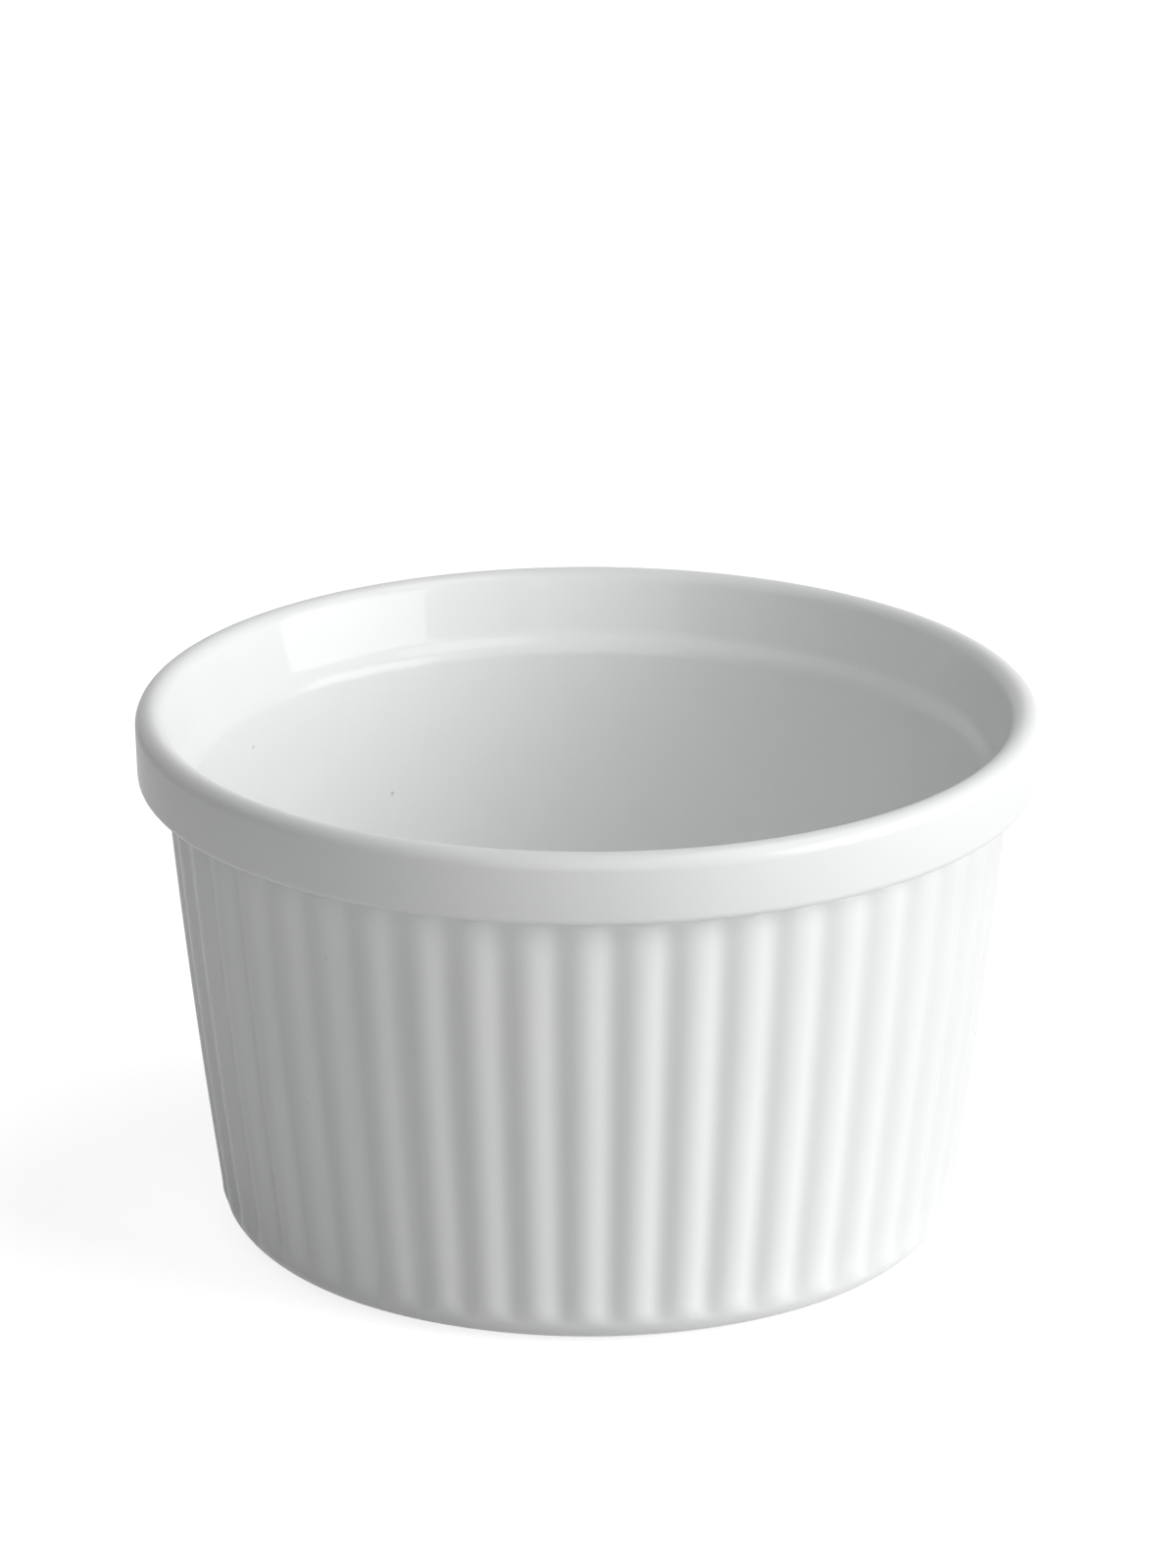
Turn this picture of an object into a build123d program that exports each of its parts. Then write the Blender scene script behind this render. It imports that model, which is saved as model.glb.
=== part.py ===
from build123d import *
import os
from math import asin, atan2, cos, degrees, hypot, pi, sin

# A small round baking dish, a ramekin, of white porcelain under a clear glossy glaze.
# The origin is at the centre of the foot ring, on the surface that the dish stands on.
# Sizes are those of the glazed dish in millimetres, and the clay lies inside them by the
# thickness of the glaze. Profiles are drawn in the XZ plane, as radius and height.

# Overall size
rim_diameter = 100.0
height = 60.0
glaze_thickness = 0.25

# Plain collar with a full round lip
lip_radius = 1.7
collar_height = 7.9
collar_overhang = 3.25
collar_draft = 0.2
collar_edge_radius = 0.9
neck_cove_radius = 0.8

# Reeded wall: rounded ribs that are domed below the collar and run out on the toe
rib_count = 48
rib_depth = 0.6
rib_end_length = 1.5
rib_top_gap = 1.0
wall_bow = 0.3

# Convex part of each rib, as a share of the ribs' pitch, with a rounded groove for the rest
crown_share = 0.64

# Round toe below the ribs, and the foot that it rolls under to
foot_diameter = 72.4
toe_height = 5.1
toe_overhang = 5.0

# Stretches that the lofted ribs are made in: on the toe, up the wall and at the domed ends
toe_steps = 2
wall_steps = 2
rib_end_steps = 2

# Inside, with the narrow sloping ledge below the band of the collar
neck_thickness = 1.2
ledge_width = 1.5
ledge_rise = 1.5
ledge_depth = 8.2
floor_thickness = 4.0
floor_cove_radius = 7.0

# Radii of the ledge's cove and rounded edge, as shares of its width
ledge_cove_share = 1.45
ledge_edge_share = 1.7

# Underside, with a foot ring that is left bare of glaze
foot_ring_width = 3.0
foot_chamfer = 0.4
recess_depth = 1.5
recess_cove_radius = 1.0
bare_foot_height = 0.8

# How far a cutting solid runs past what it cuts
overrun = 5.0

# Radii and heights that follow from the sizes above
rim_radius = rim_diameter / 2
foot_radius = foot_diameter / 2
collar_z = height - collar_height
lip_z = height - lip_radius
lip_middle_radius = rim_radius - lip_radius
ledge_z = height - ledge_depth
floor_z = recess_depth + floor_thickness
rib_top_z = collar_z - rib_top_gap
crest_top_radius = rim_radius - collar_overhang
crest_bottom_radius = foot_radius + toe_overhang
wall_thickness = neck_thickness + ledge_width
recess_radius = foot_radius - foot_ring_width


def cone_radius(z):
    """Radius of the straight cone through the two ends of the rib crests."""
    climb = (z - toe_height) / (collar_z - toe_height)
    return crest_bottom_radius + (crest_top_radius - crest_bottom_radius) * climb


def groove_radius(z):
    """Radius of the wall in the grooves, the cone bowed slightly outward."""
    climb = (z - toe_height) / (collar_z - toe_height)
    return cone_radius(z) - rib_depth + wall_bow * 4 * climb * (1 - climb)


def inner_radius(z):
    """Radius of the plain wall inside, which tapers with the outside."""
    return cone_radius(z) - rib_depth - wall_thickness


def polar_point(radius, angle):
    """Point at a radius and an angle in radians from the X axis."""
    return (radius * cos(angle), radius * sin(angle))


def turned(*curves):
    """Solid of revolution of a closed outline of radius and height."""
    section = make_face(Curve() + list(curves))
    return revolve(Plane.XZ * section, Axis.Z)


def reeded_section(z, groove, depth, inset):
    """Face across the ribs at height z, which stand out by depth from the grooves.

    Each rib is a convex arc, and each groove a concave one. The two meet on the flank with
    the same lean, and moving the flank in along its normal moves both arcs in by inset.
    """
    half_pitch = pi / rib_count
    flank_angle = half_pitch * crown_share
    flank_x, flank_y = polar_point(groove + depth * (1 - crown_share), flank_angle)
    lean = 2 * atan2(groove + depth - flank_x, flank_y)
    flank_x -= inset * cos(lean)
    flank_y -= inset * sin(lean)
    flank = hypot(flank_x, flank_y)
    turn = atan2(flank_y, flank_x)
    arcs = []
    for rib in range(rib_count):
        crest = rib * 2 * half_pitch
        start = polar_point(flank, crest - turn)
        middle = polar_point(flank, crest + turn)
        end = polar_point(flank, crest + 2 * half_pitch - turn)
        arcs.append(ThreePointArc(start, polar_point(groove + depth - inset, crest), middle))
        arcs.append(ThreePointArc(middle, polar_point(groove - inset, crest + half_pitch), end))
    return Pos(0, 0, z) * Face(Wire(arcs))


def run_out_angle():
    """Angle up the toe's quarter ellipse at which it cuts the bottoms of the grooves."""
    return asin(1 - rib_depth / toe_overhang)


def reeded_wall(inset):
    """The ribs and the wall behind them, lofted from their run-out to their domed tops.

    On the toe the crests follow its quarter ellipse and the grooves drop straight down to
    it, and the inset shrinks towards the foot.
    """
    sections = []
    for step in range(toe_steps):
        turn = run_out_angle() + (pi / 2 - run_out_angle()) * step / toe_steps
        crest = foot_radius + toe_overhang * sin(turn)
        groove = crest_bottom_radius - rib_depth
        z = toe_height * (1 - cos(turn))
        sections.append(reeded_section(z, groove, crest - groove, inset * sin(turn)))
    for step in range(wall_steps + 1):
        z = toe_height + (rib_top_z - rib_end_length - toe_height) * step / wall_steps
        sections.append(reeded_section(z, groove_radius(z), rib_depth, inset))
    for step in reversed(range(rib_end_steps)):
        turn = pi / 2 * step / rib_end_steps
        z = rib_top_z - rib_end_length * (1 - cos(turn))
        sections.append(reeded_section(z, groove_radius(z), rib_depth * sin(turn), inset))
    return loft(sections, ruled=True)


def turned_toe(inset):
    """The plain toe, a quarter ellipse from the foot up to where the grooves run out."""
    toe = EllipticalCenterArc(
        (foot_radius, toe_height),
        toe_overhang - inset,
        toe_height,
        start_angle=270,
        arc_size=degrees(run_out_angle()),
    )
    rest = Polyline(toe @ 1, (0, (toe @ 1).Y), (0, 0), toe @ 0)
    return turned(toe, rest)


def turned_collar(inset):
    """The plain collar above the ribs, up to the outer half of the lip."""
    collar = FilletPolyline(
        (groove_radius(rib_top_z) - inset, rib_top_z),
        (groove_radius(rib_top_z) - inset, collar_z + inset),
        (rim_radius - collar_draft - inset, collar_z + inset),
        (rim_radius - inset, lip_z),
        radius=[neck_cove_radius + inset, collar_edge_radius - inset],
    )
    lip = RadiusArc(collar @ 1, (lip_middle_radius, height - inset), -(lip_radius - inset))
    rest = Polyline(lip @ 1, (0, height - inset), (0, rib_top_z), collar @ 0)
    return turned(collar, lip, rest)


def hollow(inset):
    """Space inside the dish, with the inner half of the lip, widened by inset.

    The lip's arc ends where its tangent runs down the band to the edge of the ledge.
    """
    slope = atan2(ledge_rise, ledge_width)
    drop = inset * (1 - sin(slope)) / cos(slope)
    edge_radius = inner_radius(ledge_z) + ledge_width + inset
    edge_z = ledge_z + ledge_rise - drop
    across = lip_middle_radius - edge_radius
    up = lip_z - edge_z
    swing = atan2(up, across) + asin((lip_radius - inset) / hypot(up, across))
    lip = CenterArc((lip_middle_radius, lip_z), lip_radius - inset, 90, degrees(swing))
    inside = FilletPolyline(
        lip @ 1,
        (edge_radius, edge_z),
        (inner_radius(ledge_z) + inset, ledge_z - drop),
        (inner_radius(floor_z) + inset, floor_z - inset),
        (0, floor_z - inset),
        radius=[
            ledge_width * ledge_cove_share + inset,
            ledge_width * ledge_edge_share - inset,
            floor_cove_radius + inset,
        ],
    )
    rest = Polyline(
        inside @ 1,
        (0, height + overrun),
        (lip_middle_radius, height + overrun),
        lip @ 0,
    )
    return turned(lip, inside, rest)


def dish(inset):
    """The whole dish on its flat base, with every face moved in by inset."""
    return turned_toe(inset) + reeded_wall(inset) + turned_collar(inset) - hollow(inset)


def recess(inset):
    """Hollow of the underside inside the foot ring, widened by inset."""
    outline = FilletPolyline(
        (0, -overrun),
        (recess_radius + inset, -overrun),
        (recess_radius + inset, recess_depth + inset),
        (0, recess_depth + inset),
        radius=[0, 0, recess_cove_radius + inset, 0],
        close=True,
    )
    return turned(outline)


def foot_bevel():
    """Bevel round the inner edge of the bare foot ring."""
    edge = recess_radius + glaze_thickness
    outline = Polyline(
        (0, -overrun),
        (edge + foot_chamfer + overrun, -overrun),
        (edge, foot_chamfer),
        (0, foot_chamfer),
        close=True,
    )
    return turned(outline)


def bare_zone():
    """Space round the foot ring that no glaze reaches."""
    outline = Polyline(
        (0, -overrun),
        (rim_radius, -overrun),
        (rim_radius, bare_foot_height),
        (0, bare_foot_height),
        close=True,
    )
    return turned(outline)


clay_blank = dish(glaze_thickness)
porcelain_body = clay_blank - recess(glaze_thickness) - foot_bevel()
glaze_coat = dish(0) - clay_blank - bare_zone()
base_glaze = recess(glaze_thickness) - recess(0) - bare_zone()

parts = {
    "porcelain_body": porcelain_body,
    "glaze_coat": glaze_coat,
    "base_glaze": base_glaze,
}

os.makedirs("parts", exist_ok=True)
for name, shape in parts.items():
    export_step(shape, f"parts/{name}.step")
    print(name, len(shape.solids()), "solids", round(shape.volume), "mm3")
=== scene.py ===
"""A white porcelain ramekin with a reeded wall, dressed for a studio picture.

Lengths are in metres, or in millimetres where the name ends in _mm. Angles are in radians, or
in degrees where the name ends in _deg.
"""

import logging
import math
from dataclasses import dataclass, field
from enum import Enum
from typing import Sequence

import bpy
import numpy as np
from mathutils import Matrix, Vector


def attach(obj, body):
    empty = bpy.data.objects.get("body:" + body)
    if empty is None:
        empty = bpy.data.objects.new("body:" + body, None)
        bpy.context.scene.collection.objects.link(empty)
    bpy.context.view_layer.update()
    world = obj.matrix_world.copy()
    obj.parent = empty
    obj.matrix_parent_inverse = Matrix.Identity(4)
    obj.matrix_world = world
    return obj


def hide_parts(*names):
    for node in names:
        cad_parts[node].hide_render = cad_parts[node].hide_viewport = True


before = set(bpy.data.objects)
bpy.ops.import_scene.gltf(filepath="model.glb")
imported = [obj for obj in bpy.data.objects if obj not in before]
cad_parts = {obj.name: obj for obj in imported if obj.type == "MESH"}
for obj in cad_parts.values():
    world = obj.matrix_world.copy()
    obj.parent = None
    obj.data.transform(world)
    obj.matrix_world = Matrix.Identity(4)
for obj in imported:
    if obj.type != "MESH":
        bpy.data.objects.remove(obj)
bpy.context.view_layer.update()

log = logging.getLogger("ramekin")

MM = 0.001

# Points nearer than this to each other, or to the axis, count as one
SAME_POINT = 1e-7

# Numbers of the colour sockets on Blender's Mix node
MIX_FIRST_COLOUR = 6
MIX_SECOND_COLOUR = 7
MIX_RESULT_COLOUR = 2

WHITE = (1.0, 1.0, 1.0, 1.0)


class Part(Enum):
    """Solid parts of the dish, by the name of the CAD node that each piece stands for."""

    BODY = "porcelain_body"
    COAT = "glaze_coat"
    BASE = "base_glaze"


class Slot(Enum):
    """Material slots of the record."""

    CLAY = "clay"
    GLAZE = "glaze"


def linear_colour(hex_colour: str) -> tuple[float, float, float, float]:
    """Turns an sRGB hex colour into linear light.

    Args:
        hex_colour: six hex digits after a hash.

    Returns:
        Red, green and blue in linear light, and an alpha of one.
    """
    encoded = [int(hex_colour[i : i + 2], 16) / 255 for i in (1, 3, 5)]
    light = [c / 12.92 if c <= 0.04045 else ((c + 0.055) / 1.055) ** 2.4 for c in encoded]
    return (light[0], light[1], light[2], 1.0)


def add_node(
    tree: bpy.types.NodeTree,
    kind: str,
    settings: dict[str | int, object] | None = None,
    links: dict[str | int, bpy.types.NodeSocket] | None = None,
) -> bpy.types.Node:
    """Adds a node, sets its own properties and sockets, and links its inputs.

    Args:
        tree: the node tree that the node goes into.
        kind: Blender's name for the node's type.
        settings: values by property name, or else by an input's name or number.
        links: the socket that feeds each input, by the input's name or number.

    Returns:
        The new node.
    """
    node = tree.nodes.new(kind)
    for name, value in (settings or {}).items():
        if isinstance(name, str) and hasattr(node, name):
            setattr(node, name, value)
        else:
            node.inputs[name].default_value = value
    for name, socket in (links or {}).items():
        tree.links.new(socket, node.inputs[name])
    return node


def empty_material(name: str) -> bpy.types.Material:
    """Makes a material whose node tree is still empty.

    Args:
        name: the material's name.

    Returns:
        The new material.
    """
    material = bpy.data.materials.new(name)
    material.use_nodes = True
    material.node_tree.nodes.clear()
    return material


def colour_mix(
    tree: bpy.types.NodeTree,
    factor: bpy.types.NodeSocket,
    first: bpy.types.NodeSocket | str,
    second_hex: str,
) -> bpy.types.NodeSocket:
    """Blends from a first colour to a second one.

    Args:
        tree: the node tree that the node goes into.
        factor: the share of the second colour.
        first: the first colour, as a socket or as sRGB hex.
        second_hex: the second colour in sRGB hex.

    Returns:
        The socket that gives the blended colour.
    """
    settings = {"data_type": "RGBA", MIX_SECOND_COLOUR: linear_colour(second_hex)}
    links = {"Factor": factor}
    if isinstance(first, str):
        settings[MIX_FIRST_COLOUR] = linear_colour(first)
    else:
        links[MIX_FIRST_COLOUR] = first
    return add_node(tree, "ShaderNodeMix", settings, links).outputs[MIX_RESULT_COLOUR]


def seen_directly(tree: bpy.types.NodeTree) -> bpy.types.NodeSocket:
    """One for light that goes to the camera or comes by a mirror or through glass.

    Args:
        tree: the node tree that the nodes go into.

    Returns:
        The socket with the value, zero for diffuse light.
    """
    path = add_node(tree, "ShaderNodeLightPath").outputs
    sharp = add_node(
        tree,
        "ShaderNodeMath",
        {"operation": "MAXIMUM"},
        {0: path["Is Glossy Ray"], 1: path["Is Transmission Ray"]},
    )
    seen = add_node(
        tree,
        "ShaderNodeMath",
        {"operation": "MAXIMUM"},
        {0: path["Is Camera Ray"], 1: sharp.outputs[0]},
    )
    return seen.outputs[0]


# Outlines, as rows of radius and height, or of radius, height and rib depth


def straight(start: np.ndarray, end: np.ndarray, spacing: float) -> np.ndarray:
    """Evenly spaced points from start to end: shares of the one and of the other.

    Args:
        start: radius and height of the first point.
        end: radius and height of the last point.
        spacing: about how far apart the points are.

    Returns:
        Rows of radius and height, at least the two ends.
    """
    count = max(2, round(np.linalg.norm(end - start) / spacing))
    share = np.linspace(0.0, 1.0, count)[:, None]
    return (1 - share) * start + share * end


def round_arc(
    centre: tuple[float, float], radius: float, start_deg: float, end_deg: float, count: int
) -> np.ndarray:
    """Points on a circle: the centre plus the radius times cosine and sine of an angle.

    Args:
        centre: radius and height of the centre.
        radius: the circle's own radius.
        start_deg: first angle, from the outward direction.
        end_deg: last angle.
        count: how many points.

    Returns:
        Rows of radius and height.
    """
    turn = np.radians(np.linspace(start_deg, end_deg, count))
    return np.array(centre) + radius * np.column_stack((np.cos(turn), np.sin(turn)))


def rounded(
    corners: Sequence[Sequence[float]], fillets: Sequence[float], arc_rows: int, spacing: float
) -> np.ndarray:
    """A path of straight runs whose corners are arcs that touch both runs.

    An arc's centre lies on the corner's bisector, at its radius over the sine of half the
    angle. A point of the arc is the centre plus the two end spokes, each times the sine of its
    share of the swing over the sine of the whole swing.

    Args:
        corners: radius and height of each corner, the two ends included.
        fillets: arc radius at each inner corner.
        arc_rows: points on each arc.
        spacing: about how far apart points on straight runs are.

    Returns:
        Rows of radius and height, without repeated points.
    """
    points = np.array(corners, float)
    share = np.linspace(0, 1, arc_rows)[:, None]
    stretches = []
    last = points[0]
    for corner, before, after, radius in zip(points[1:-1], points[:-2], points[2:], fillets):
        back = (before - corner) / np.linalg.norm(before - corner)
        ahead = (after - corner) / np.linalg.norm(after - corner)
        half = math.acos(float(np.clip(back @ ahead, -1, 1))) / 2
        centre = corner + (back + ahead) / np.linalg.norm(back + ahead) * radius / math.sin(half)
        first = corner + back * radius / math.tan(half)
        final = corner + ahead * radius / math.tan(half)
        swing = math.pi - 2 * half
        leaving = np.sin((1 - share) * swing) * (first - centre)
        arriving = np.sin(share * swing) * (final - centre)
        stretches.append(straight(last, first, spacing))
        stretches.append(centre + (leaving + arriving) / math.sin(swing))
        last = final
    stretches.append(straight(last, points[-1], spacing))
    return joined(stretches)


def joined(stretches: Sequence[np.ndarray]) -> np.ndarray:
    """Puts stretches of outline end to end and drops points that repeat the one before.

    Args:
        stretches: arrays with the same columns, radius and height first.

    Returns:
        One array with those columns.
    """
    path = np.vstack(stretches)
    step = np.linalg.norm(np.diff(path[:, :2], axis=0), axis=1)
    return path[np.concatenate(([True], step > SAME_POINT))]


def thinned(outline: np.ndarray, step: int) -> np.ndarray:
    """Keeps the first row, the last, and every row that is whole steps away from the last.

    Args:
        outline: rows of an outline.
        step: how many rows become one.

    Returns:
        The rows that are kept, in their order.
    """
    kept = np.arange(len(outline) - 1, 0, -step)[::-1]
    return outline[np.concatenate(([0], kept))]


def plain(outline: np.ndarray) -> np.ndarray:
    """Adds a rib depth of zero to each row of radius and height."""
    return np.column_stack((outline, np.zeros(len(outline))))


@dataclass(frozen=True)
class Fineness:
    """How many rows each stretch of outline has, and how many columns each rib.

    The coat's back is hidden, so it keeps only one row in hidden_step.
    """

    columns_per_rib: int = 10
    toe_rows: int = 8
    run_out_rows: int = 7
    wall_rows: int = 18
    dome_rows: int = 9
    collar_arc_rows: int = 7
    collar_spacing: float = 2.4 * MM
    lip_rows: int = 13
    bowl_arc_rows: int = 10
    bowl_spacing: float = 4.0 * MM
    hollow_arc_rows: int = 7
    hollow_spacing: float = 4.0 * MM
    hidden_step: int = 2


@dataclass(frozen=True)
class DishForm:
    """Sizes of the glazed dish and the outlines that follow from them.

    An outline of the outside follows the grooves, and its third column says how far the ribs
    stand out there.
    """

    rim_radius: float = 50.0 * MM
    height: float = 60.0 * MM
    lip_radius: float = 1.7 * MM
    collar_height: float = 7.9 * MM
    collar_overhang: float = 3.25 * MM
    collar_draft: float = 0.2 * MM
    collar_edge_radius: float = 0.9 * MM
    neck_cove_radius: float = 0.8 * MM
    rib_count: int = 48
    rib_depth: float = 0.6 * MM
    crown_share: float = 0.64
    rib_end_length: float = 1.5 * MM
    rib_top_gap: float = 1.0 * MM
    wall_bow: float = 0.3 * MM
    foot_radius: float = 36.2 * MM
    toe_height: float = 5.1 * MM
    toe_overhang: float = 5.0 * MM
    neck_thickness: float = 1.2 * MM
    ledge_width: float = 1.5 * MM
    ledge_rise: float = 1.5 * MM
    ledge_depth: float = 8.2 * MM
    ledge_cove_radius: float = 2.175 * MM
    ledge_edge_radius: float = 2.55 * MM
    floor_thickness: float = 4.0 * MM
    floor_cove_radius: float = 7.0 * MM
    foot_ring_width: float = 3.0 * MM
    foot_chamfer: float = 0.4 * MM
    recess_depth: float = 1.5 * MM
    recess_cove_radius: float = 1.0 * MM
    bare_foot_height: float = 0.8 * MM
    glaze: float = 0.25 * MM
    fineness: Fineness = field(default_factory=Fineness)

    @property
    def collar_z(self) -> float:
        """Height of the collar's underside."""
        return self.height - self.collar_height

    @property
    def rib_top_z(self) -> float:
        """Height at which the ribs have faded out below the collar."""
        return self.collar_z - self.rib_top_gap

    @property
    def floor_z(self) -> float:
        """Height of the floor inside the dish."""
        return self.recess_depth + self.floor_thickness

    @property
    def recess_radius(self) -> float:
        """Radius of the hollow inside the foot ring."""
        return self.foot_radius - self.foot_ring_width

    @property
    def lip_centre(self) -> tuple[float, float]:
        """Radius and height of the middle of the lip's round."""
        return (self.rim_radius - self.lip_radius, self.height - self.lip_radius)

    @property
    def crest_bottom_radius(self) -> float:
        """Radius of the rib crests at the top of the toe."""
        return self.foot_radius + self.toe_overhang

    @property
    def crest_top_radius(self) -> float:
        """Radius of the cone through the rib crests at the collar's underside."""
        return self.rim_radius - self.collar_overhang

    def climb(self, z: float | np.ndarray) -> float | np.ndarray:
        """Share of the way from the top of the toe to the collar at height z."""
        return (z - self.toe_height) / (self.collar_z - self.toe_height)

    def cone_radius(self, z: float | np.ndarray) -> float | np.ndarray:
        """Radius of the straight cone through both ends of the rib crests, at height z."""
        widening = self.crest_top_radius - self.crest_bottom_radius
        return self.crest_bottom_radius + widening * self.climb(z)

    def groove_radius(self, z: float | np.ndarray) -> float | np.ndarray:
        """Radius of the wall in the grooves at height z: the cone, bowed slightly outward."""
        bow = self.wall_bow * 4 * self.climb(z) * (1 - self.climb(z))
        return self.cone_radius(z) - self.rib_depth + bow

    def inner_radius(self, z: float) -> float:
        """Radius of the plain wall inside at height z, which tapers with the outside."""
        return self.cone_radius(z) - self.rib_depth - self.neck_thickness - self.ledge_width

    def toe(self, inset: float, base: float) -> np.ndarray:
        """Outline of the toe, on which the ribs run out.

        The crests follow a quarter ellipse, the foot's radius plus the overhang times the sine
        of a turning angle, and the toe's height less that height times its cosine. The grooves
        drop straight down until the ellipse cuts them off. The inset grows with the sine.

        Args:
            inset: how far the face moves into the clay at the top of the toe.
            base: height at which the outline begins.

        Returns:
            Rows of radius, height and rib depth.
        """
        first = math.acos(1 - base / self.toe_height)
        run_out = math.asin(1 - self.rib_depth / self.toe_overhang)
        below = np.linspace(first, run_out, self.fineness.toe_rows)
        above = np.linspace(run_out, math.pi / 2, self.fineness.run_out_rows)
        turn = np.concatenate((below, above))
        crest = self.foot_radius + self.toe_overhang * np.sin(turn)
        groove = np.minimum(crest, self.crest_bottom_radius - self.rib_depth)
        height = self.toe_height * (1 - np.cos(turn))
        return np.column_stack((groove - inset * np.sin(turn), height, crest - groove))

    def reeded_wall(self, inset: float) -> np.ndarray:
        """Outline of the wall from the toe to the domed tops of the ribs.

        At the top the depth follows a quarter ellipse, over the end length.

        Args:
            inset: how far the face moves into the clay.

        Returns:
            Rows of radius, height and rib depth.
        """
        dome_start = self.rib_top_z - self.rib_end_length
        steady = np.linspace(self.toe_height, dome_start, self.fineness.wall_rows)
        dome = np.sin(np.linspace(0, math.pi / 2, self.fineness.dome_rows))
        heights = np.concatenate((steady, dome_start + self.rib_end_length * dome[1:]))
        above = np.clip((heights - dome_start) / self.rib_end_length, 0, 1)
        depth = self.rib_depth * np.sqrt(1 - above**2)
        return np.column_stack((self.groove_radius(heights) - inset, heights, depth))

    def outside(self, inset: float, base: float) -> np.ndarray:
        """Outline from height base on the toe, up the wall to the top of the lip.

        Args:
            inset: how far all faces move into the clay.
            base: height at which the outline begins.

        Returns:
            Rows of radius, height and rib depth.
        """
        neck = self.groove_radius(self.rib_top_z) - inset
        collar = rounded(
            (
                (neck, self.rib_top_z),
                (neck, self.collar_z + inset),
                (self.rim_radius - self.collar_draft - inset, self.collar_z + inset),
                (self.rim_radius - inset, self.height - self.lip_radius),
            ),
            (self.neck_cove_radius + inset, self.collar_edge_radius - inset),
            self.fineness.collar_arc_rows,
            self.fineness.collar_spacing,
        )
        lip = round_arc(self.lip_centre, self.lip_radius - inset, 0, 90, self.fineness.lip_rows)
        return joined((self.toe(inset, base), self.reeded_wall(inset), plain(collar), plain(lip)))

    def inside(self, inset: float) -> np.ndarray:
        """Outline from the top of the lip over the ledge to the middle of the floor.

        The lip's round ends where its tangent runs down the band to the edge of the ledge.

        Args:
            inset: how far all faces move into the clay.

        Returns:
            Rows of radius, height and a rib depth of zero.
        """
        ledge_z = self.height - self.ledge_depth
        ledge = self.inner_radius(ledge_z)
        slope = math.atan2(self.ledge_rise, self.ledge_width)
        drop = inset * (1 - math.sin(slope)) / math.cos(slope)
        edge = np.array((ledge + self.ledge_width + inset, ledge_z + self.ledge_rise - drop))
        across, up = np.array(self.lip_centre) - edge
        radius = self.lip_radius - inset
        swing = math.atan2(up, across) + math.asin(radius / math.hypot(up, across))
        end_deg = 90 + math.degrees(swing)
        lip = round_arc(self.lip_centre, radius, 90, end_deg, self.fineness.lip_rows)
        wall = rounded(
            (
                lip[-1],
                edge,
                (ledge + inset, ledge_z - drop),
                (self.inner_radius(self.floor_z) + inset, self.floor_z - inset),
                (0, self.floor_z - inset),
            ),
            (
                self.ledge_cove_radius + inset,
                self.ledge_edge_radius - inset,
                self.floor_cove_radius + inset,
            ),
            self.fineness.bowl_arc_rows,
            self.fineness.bowl_spacing,
        )
        return plain(joined((lip, wall)))

    def shell(self, inset: float, base: float) -> np.ndarray:
        """Outline from height base on the toe, over the lip, to the middle of the floor."""
        return joined((self.outside(inset, base), self.inside(inset)))

    def hollow(self, inset: float) -> np.ndarray:
        """Outline of the underside's hollow, from its middle out to the bare foot ring.

        Args:
            inset: how far its faces move into the clay.

        Returns:
            Rows of radius, height and a rib depth of zero.
        """
        wall = self.recess_radius + inset
        roof = self.recess_depth + inset
        fillet = min(self.recess_cove_radius + inset, roof - self.bare_foot_height)
        corners = ((0, roof), (wall, roof), (wall, self.bare_foot_height))
        rows, spacing = self.fineness.hollow_arc_rows, self.fineness.hollow_spacing
        return plain(rounded(corners, (fillet,), rows, spacing))

    def foot_bevel(self) -> np.ndarray:
        """Outline of the bevel round the inner edge of the bare foot ring."""
        edge = self.recess_radius + self.glaze
        return plain(np.array(((edge, self.foot_chamfer), (edge + self.foot_chamfer, 0.0))))

    def column_angles(self) -> np.ndarray:
        """Angles of the mesh's columns, a whole number of them to each rib."""
        count = self.rib_count * self.fineness.columns_per_rib
        return np.arange(count) * 2 * math.pi / count

    def rib_rise(self, angles: np.ndarray) -> np.ndarray:
        """Height of the ribs at each angle, from zero in a groove to one on a crest.

        Across half a pitch the crown falls by the square of the distance from the crest, over
        the crown's share, and the groove rises by the square of the distance from its bottom,
        over the groove's share. The two curves meet with one slope.

        Args:
            angles: angles round the upright axis.

        Returns:
            The rise at each angle.
        """
        across = angles * self.rib_count / (2 * math.pi)
        offset = 2 * np.abs(across - np.round(across))
        crown = 1 - offset**2 / self.crown_share
        groove = (1 - offset) ** 2 / (1 - self.crown_share)
        return np.where(offset < self.crown_share, crown, groove)


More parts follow.
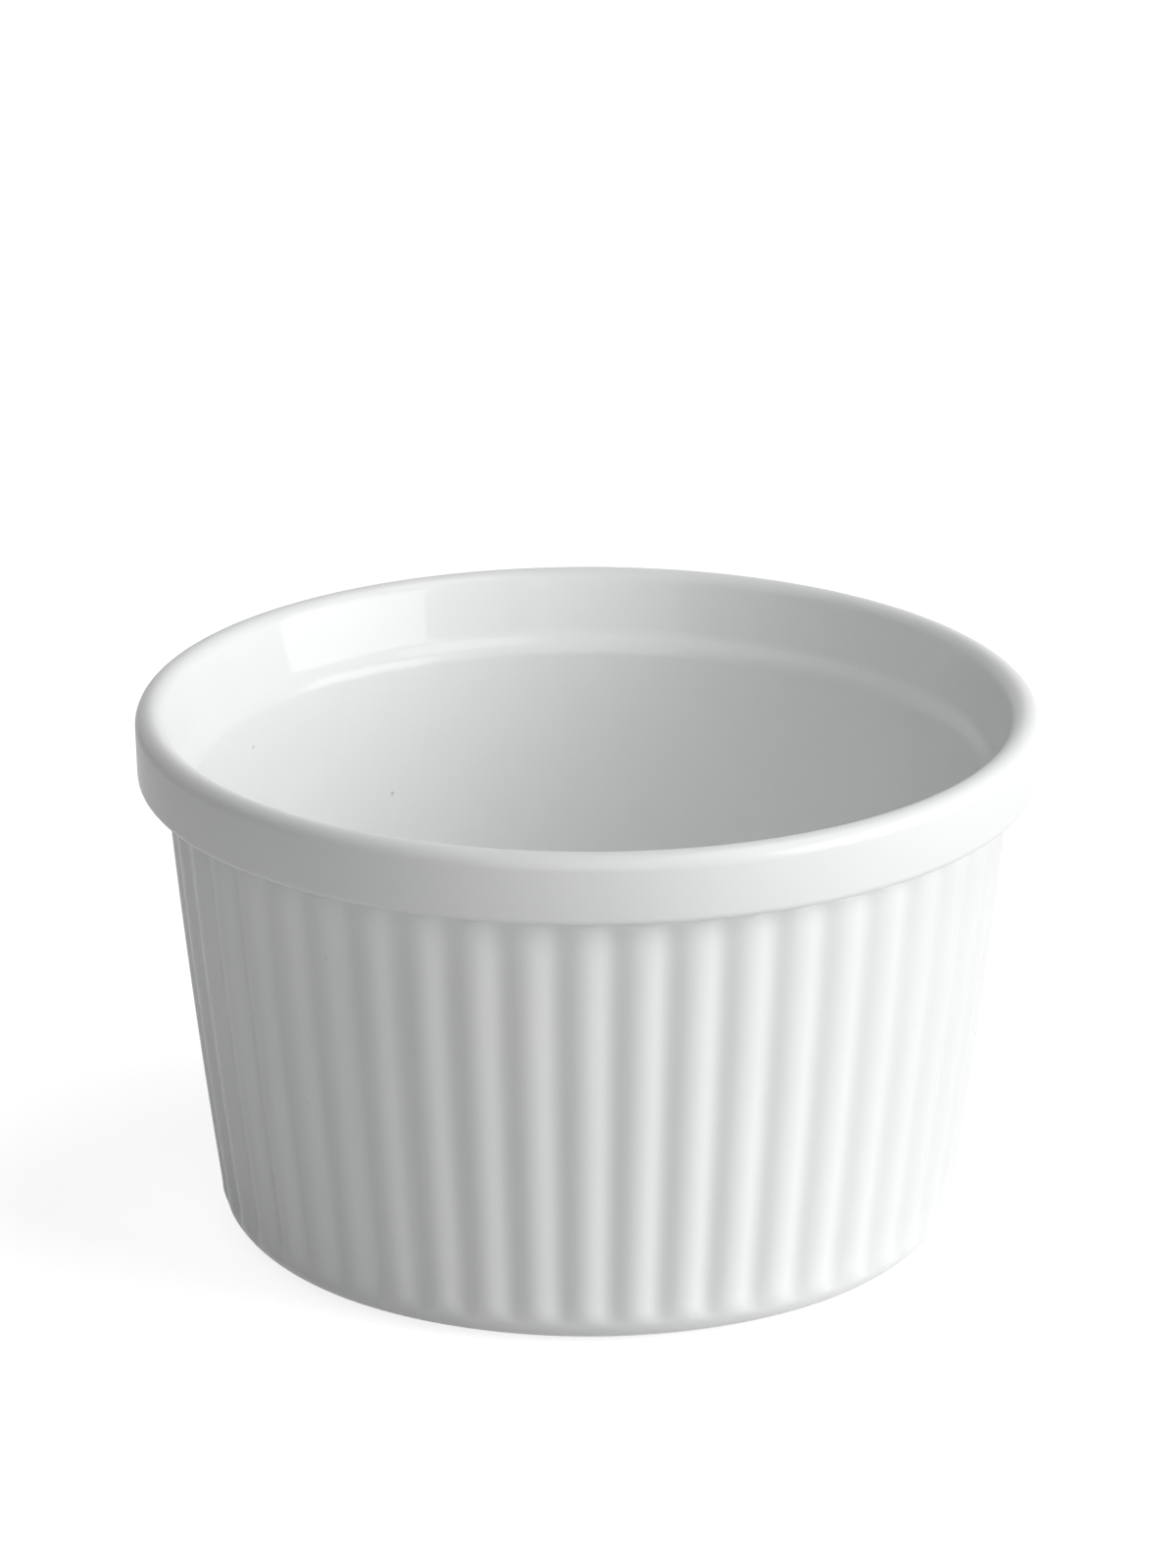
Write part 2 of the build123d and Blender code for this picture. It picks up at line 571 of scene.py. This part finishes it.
def turned_mesh(
    name: str, outline: np.ndarray, angles: np.ndarray, rise: np.ndarray
) -> bpy.types.Object:
    """Turns an outline about the upright axis into one closed, smooth mesh.

    A point is the outline's radius, plus its rib depth times the rise at each angle, and the
    outline's height. Rows on the axis become one vertex. The outline is closed on itself,
    except across the axis.

    Args:
        name: the new object's name.
        outline: rows of radius, height and rib depth, with the outside on the right.
        angles: angles of the columns, rising.
        rise: the ribs' rise at each of the angles.

    Returns:
        The new object, linked to the scene.
    """
    columns = len(angles)
    radius = outline[:, :1] + outline[:, 2:] * rise
    height = np.repeat(outline[:, 1:2], columns, axis=1)
    grid = np.stack((radius * np.cos(angles), radius * np.sin(angles), height), axis=2)
    on_axis = outline[:, 0] < SAME_POINT
    sizes = np.where(on_axis, 1, columns)
    starts = np.concatenate(([0], np.cumsum(sizes)[:-1]))
    index = np.where(on_axis[:, None], starts[:, None], starts[:, None] + np.arange(columns))
    vertices = np.zeros((int(sizes.sum()), 3))
    vertices[index.ravel()] = grid.reshape(-1, 3)

    following = np.roll(index, -1, axis=0)
    both_on_axis = on_axis & np.roll(on_axis, -1)
    lower, upper = index[~both_on_axis], following[~both_on_axis]
    quads = np.stack(
        (lower, np.roll(lower, -1, axis=1), np.roll(upper, -1, axis=1), upper), axis=2
    ).reshape(-1, 4)
    low_fan = quads[:, 0] == quads[:, 1]
    high_fan = quads[:, 2] == quads[:, 3]
    faces = (
        quads[~low_fan & ~high_fan].tolist()
        + quads[low_fan][:, [0, 2, 3]].tolist()
        + quads[high_fan][:, [0, 1, 2]].tolist()
    )
    mesh = bpy.data.meshes.new(name)
    mesh.from_pydata(vertices.tolist(), [], faces)
    mesh.polygons.foreach_set("use_smooth", np.ones(len(faces), bool))
    mesh.update()
    piece = bpy.data.objects.new(name, mesh)
    bpy.context.scene.collection.objects.link(piece)
    return piece


@dataclass(frozen=True)
class GlazedPorcelain:
    """Hard porcelain under a clear feldspar glaze, fired glossy.

    The eye gets a clean white with a faint cool cast, highlights with soft edges from the
    slightly uneven glaze, and a few pin specks of iron in the body, each full out to its core
    and faded at its rim. A glaze's IOR is about 1.5. Here a higher one goes with a low weight,
    so that faces turned to the eye keep their reflections and ribs seen edge on don't glare.
    """

    name: str = "glazed_porcelain"
    body_hex: str = "#F7F8F7"
    pooled_hex: str = "#F1F4F3"
    cloud_mm: float = 18.0
    roughness: float = 0.5
    body_gloss: float = 0.1
    glaze_weight: float = 0.2
    gloss_roughness: float = 0.06
    glaze_ior: float = 1.8
    unevenness_mm: float = 5.0
    unevenness_height_mm: float = 0.012
    speck_hex: str = "#9C9892"
    speck_strength: float = 0.45
    speck_spacing_mm: float = 9.0
    speck_core_mm: float = 0.168
    speck_rim_mm: float = 0.364

    def material(self) -> bpy.types.Material:
        """Builds the glazed material from procedural nodes.

        Returns:
            The new material.
        """
        material = empty_material(self.name)
        tree = material.node_tree
        place = add_node(tree, "ShaderNodeTexCoord").outputs["Object"]
        cloud = add_node(
            tree, "ShaderNodeTexNoise", {"Scale": 1 / (self.cloud_mm * MM)}, {"Vector": place}
        )
        tint = colour_mix(tree, cloud.outputs["Fac"], self.body_hex, self.pooled_hex)
        cells = add_node(
            tree,
            "ShaderNodeTexVoronoi",
            {"Scale": 1 / (self.speck_spacing_mm * MM)},
            {"Vector": place},
        )
        speck = add_node(
            tree,
            "ShaderNodeMapRange",
            {
                "From Min": self.speck_core_mm / self.speck_spacing_mm,
                "From Max": self.speck_rim_mm / self.speck_spacing_mm,
                "To Min": self.speck_strength,
                "To Max": 0.0,
            },
            {"Value": cells.outputs["Distance"]},
        )
        colour = colour_mix(tree, speck.outputs["Result"], tint, self.speck_hex)
        ripple = add_node(
            tree,
            "ShaderNodeTexNoise",
            {"Scale": 1 / (self.unevenness_mm * MM), "Detail": 1.5, "Roughness": 0.4},
            {"Vector": place},
        )
        bump = add_node(
            tree,
            "ShaderNodeBump",
            {"Strength": 1.0, "Distance": self.unevenness_height_mm * MM},
            {"Height": ripple.outputs["Fac"]},
        )
        shader = add_node(
            tree,
            "ShaderNodeBsdfPrincipled",
            {
                "Roughness": self.roughness,
                "Specular IOR Level": self.body_gloss,
                "Coat Weight": self.glaze_weight,
                "Coat Roughness": self.gloss_roughness,
                "Coat IOR": self.glaze_ior,
            },
            {
                "Base Color": colour,
                "Normal": bump.outputs["Normal"],
                "Coat Normal": bump.outputs["Normal"],
            },
        )
        add_node(tree, "ShaderNodeOutputMaterial", None, {"Surface": shader.outputs["BSDF"]})
        return material


@dataclass(frozen=True)
class BareBiscuit:
    """Fired porcelain with no glaze, wiped clean before the kiln and rubbed smooth.

    The eye gets a matt, faintly warm white with a sandy grain and grey marks from use. The
    grain is drawn coarser than a real one, so that it shows.
    """

    name: str = "bare_porcelain"
    clay_hex: str = "#E6E2D9"
    worn_hex: str = "#CBC6BC"
    wear_mm: float = 6.0
    roughness: float = 0.85
    grain_mm: float = 0.35
    grain_height_mm: float = 0.02

    def material(self) -> bpy.types.Material:
        """Builds the bare clay material from procedural nodes.

        Returns:
            The new material.
        """
        material = empty_material(self.name)
        tree = material.node_tree
        place = add_node(tree, "ShaderNodeTexCoord").outputs["Object"]
        wear = add_node(
            tree,
            "ShaderNodeTexNoise",
            {"Scale": 1 / (self.wear_mm * MM), "Detail": 5.0, "Roughness": 0.65},
            {"Vector": place},
        )
        colour = colour_mix(tree, wear.outputs["Fac"], self.clay_hex, self.worn_hex)
        grain = add_node(
            tree,
            "ShaderNodeTexNoise",
            {"Scale": 1 / (self.grain_mm * MM), "Detail": 3.0},
            {"Vector": place},
        )
        bump = add_node(
            tree,
            "ShaderNodeBump",
            {"Strength": 0.6, "Distance": self.grain_height_mm * MM},
            {"Height": grain.outputs["Fac"]},
        )
        shader = add_node(
            tree,
            "ShaderNodeBsdfPrincipled",
            {"Roughness": self.roughness},
            {"Base Color": colour, "Normal": bump.outputs["Normal"]},
        )
        add_node(tree, "ShaderNodeOutputMaterial", None, {"Surface": shader.outputs["BSDF"]})
        return material


@dataclass(frozen=True)
class Dish:
    """The three layers of the dish: clay, glaze coat and the glaze under the base."""

    form: DishForm = field(default_factory=DishForm)
    glaze_finish: GlazedPorcelain = field(default_factory=GlazedPorcelain)
    clay_finish: BareBiscuit = field(default_factory=BareBiscuit)

    def turn_and_dress(
        self, name: str, outline: np.ndarray, material: bpy.types.Material, part: Part
    ) -> None:
        """Turns an outline into a piece, dresses it and puts it in the place of its CAD node.

        Args:
            name: the piece's name.
            outline: rows of radius, height and rib depth, with the outside on the right.
            material: the piece's finish.
            part: the part that it stands for.
        """
        angles = self.form.column_angles()
        piece = turned_mesh(name, outline, angles, self.form.rib_rise(angles))
        piece.data.materials.append(material)
        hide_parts(part.value)
        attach(piece, "root")
        log.info("%s: %d faces, for %s", name, len(piece.data.polygons), part.value)

    def build(self) -> None:
        """Makes the three pieces."""
        form = self.form
        glazed = self.glaze_finish.material()
        bare = self.clay_finish.material()

        coat_face = form.shell(0.0, form.bare_foot_height)
        coat_back = form.shell(form.glaze, form.bare_foot_height)
        coat = np.vstack((coat_face, thinned(coat_back, form.fineness.hidden_step)[::-1]))
        self.turn_and_dress("glaze_coat_skin", coat, glazed, Part.COAT)

        body = joined((form.hollow(form.glaze), form.foot_bevel(), form.shell(form.glaze, 0.0)))
        self.turn_and_dress("clay_body", body, bare, Part.BODY)

        patch = np.vstack((form.hollow(0.0), form.hollow(form.glaze)[::-1]))
        self.turn_and_dress("base_glaze_patch", patch, glazed, Part.BASE)


@dataclass(frozen=True)
class SoftLamp:
    """A rectangular softbox, placed by its direction from the dish."""

    name: str
    azimuth_deg: float
    elevation_deg: float
    width: float
    height: float
    radiance: float
    distance: float = 1.4

    def place(self, target: Vector) -> None:
        """Hangs the lamp and turns it to the target.

        Args:
            target: the point that it faces.
        """
        azimuth = math.radians(self.azimuth_deg)
        elevation = math.radians(self.elevation_deg)
        away = Vector(
            (
                math.cos(azimuth) * math.cos(elevation),
                math.sin(azimuth) * math.cos(elevation),
                math.sin(elevation),
            )
        )
        data = bpy.data.lights.new(self.name, "AREA")
        data.shape = "RECTANGLE"
        data.size = self.width
        data.size_y = self.height
        data.energy = self.radiance * math.pi * self.width * self.height
        lamp = bpy.data.objects.new(self.name, data)
        lamp.location = target + away * self.distance
        lamp.rotation_euler = (-away).to_track_quat("-Z", "Y").to_euler()
        bpy.context.scene.collection.objects.link(lamp)
        log.info("lamp %s", self.name)


@dataclass(frozen=True)
class Studio:
    """A pale floor in a white surround, with four soft lamps that face the dish.

    The window stands to the right of the dish and the skylight above it on that side. The
    fills stand in front of it and behind it.
    """

    floor_hex: str = "#CFCFCF"
    floor_size: float = 12.0
    floor_drop: float = 0.02 * MM
    floor_lift: float = 0.8
    lift_near: float = 0.5
    lift_far: float = 1.5
    aim_height: float = 30.0 * MM
    lamps: tuple[SoftLamp, ...] = (
        SoftLamp(
            "window", azimuth_deg=-18.0, elevation_deg=20.0, width=1.16, height=1.02, radiance=4.4
        ),
        SoftLamp(
            "skylight", azimuth_deg=0.0, elevation_deg=68.0, width=1.05, height=0.54, radiance=2.9
        ),
        SoftLamp(
            "front_fill", azimuth_deg=-94.0, elevation_deg=25.0, width=1.05, height=1.36, radiance=1.1
        ),
        SoftLamp(
            "back_fill", azimuth_deg=120.0, elevation_deg=30.0, width=2.4, height=1.36, radiance=0.4
        ),
    )

    def surround(self) -> None:
        """Gives the camera, gloss and glass a white world that sheds no other light."""
        world = bpy.data.worlds.new("surround")
        bpy.context.scene.world = world
        world.use_nodes = True
        tree = world.node_tree
        tree.nodes.clear()
        white = add_node(
            tree, "ShaderNodeBackground", {"Color": WHITE}, {"Strength": seen_directly(tree)}
        )
        add_node(tree, "ShaderNodeOutputWorld", None, {"Surface": white.outputs[0]})

    def floor_material(self) -> bpy.types.Material:
        """Builds the floor's matt grey with a glow that only the camera, gloss and glass see.

        Near the dish the glow only adds to the lamps' light. From lift_near to lift_far it rises
        to one, as their light falls off.

        Returns:
            The new material.
        """
        material = empty_material("pale_floor")
        tree = material.node_tree
        matt = add_node(tree, "ShaderNodeBsdfDiffuse", {"Color": linear_colour(self.floor_hex)})
        place = add_node(tree, "ShaderNodeTexCoord").outputs["Object"]
        reach = add_node(tree, "ShaderNodeVectorMath", {"operation": "LENGTH"}, {0: place})
        rise = add_node(
            tree,
            "ShaderNodeMapRange",
            {
                "From Min": self.lift_near,
                "From Max": self.lift_far,
                "To Min": self.floor_lift,
                "To Max": 1.0,
            },
            {"Value": reach.outputs["Value"]},
        )
        lift = add_node(
            tree,
            "ShaderNodeMath",
            {"operation": "MULTIPLY"},
            {0: seen_directly(tree), 1: rise.outputs["Result"]},
        )
        glow = add_node(tree, "ShaderNodeEmission", None, {"Strength": lift.outputs[0]})
        both = add_node(tree, "ShaderNodeAddShader", None, {0: matt.outputs[0], 1: glow.outputs[0]})
        add_node(tree, "ShaderNodeOutputMaterial", None, {"Surface": both.outputs[0]})
        return material

    def floor(self) -> None:
        """Lays a flat pale floor that keeps the dish's soft shadow and reads white around it.

        It lies a hair below the foot, so that the two faces don't coincide.
        """
        half = self.floor_size / 2
        z = -self.floor_drop
        corners = [(-half, -half, z), (half, -half, z), (half, half, z), (-half, half, z)]
        mesh = bpy.data.meshes.new("floor")
        mesh.from_pydata(corners, [], [(0, 1, 2, 3)])
        mesh.materials.append(self.floor_material())
        plane = bpy.data.objects.new("floor", mesh)
        bpy.context.scene.collection.objects.link(plane)

    def build(self) -> None:
        """Sets up the surround, the floor and the lamps."""
        self.surround()
        self.floor()
        for lamp in self.lamps:
            lamp.place(Vector((0, 0, self.aim_height)))


@dataclass(frozen=True)
class Camera:
    """A long lens at the photograph's angle, which puts the dish where it is in the picture."""

    distance: float = 0.9
    height: float = 0.3696
    azimuth_deg: float = 0.6
    pitch_deg: float = 19.52
    lens_mm: float = 197.94
    sensor_mm: float = 36.0

    def build(self) -> None:
        """Makes the camera and gives it to the scene."""
        data = bpy.data.cameras.new("camera")
        data.lens = self.lens_mm
        data.sensor_width = self.sensor_mm
        camera = bpy.data.objects.new("camera", data)
        azimuth = math.radians(self.azimuth_deg)
        camera.location = (
            self.distance * math.sin(azimuth),
            -self.distance * math.cos(azimuth),
            self.height,
        )
        camera.rotation_euler = (math.radians(90 - self.pitch_deg), 0, azimuth)
        bpy.context.scene.collection.objects.link(camera)
        bpy.context.scene.camera = camera


def main() -> None:
    """Builds the studio, the camera and the dish."""
    logging.basicConfig(level=logging.INFO, format="%(name)s: %(message)s")
    Studio().build()
    Camera().build()
    Dish().build()
    bpy.context.scene.view_settings.view_transform = "Standard"


if __name__ == "__main__":
    main()
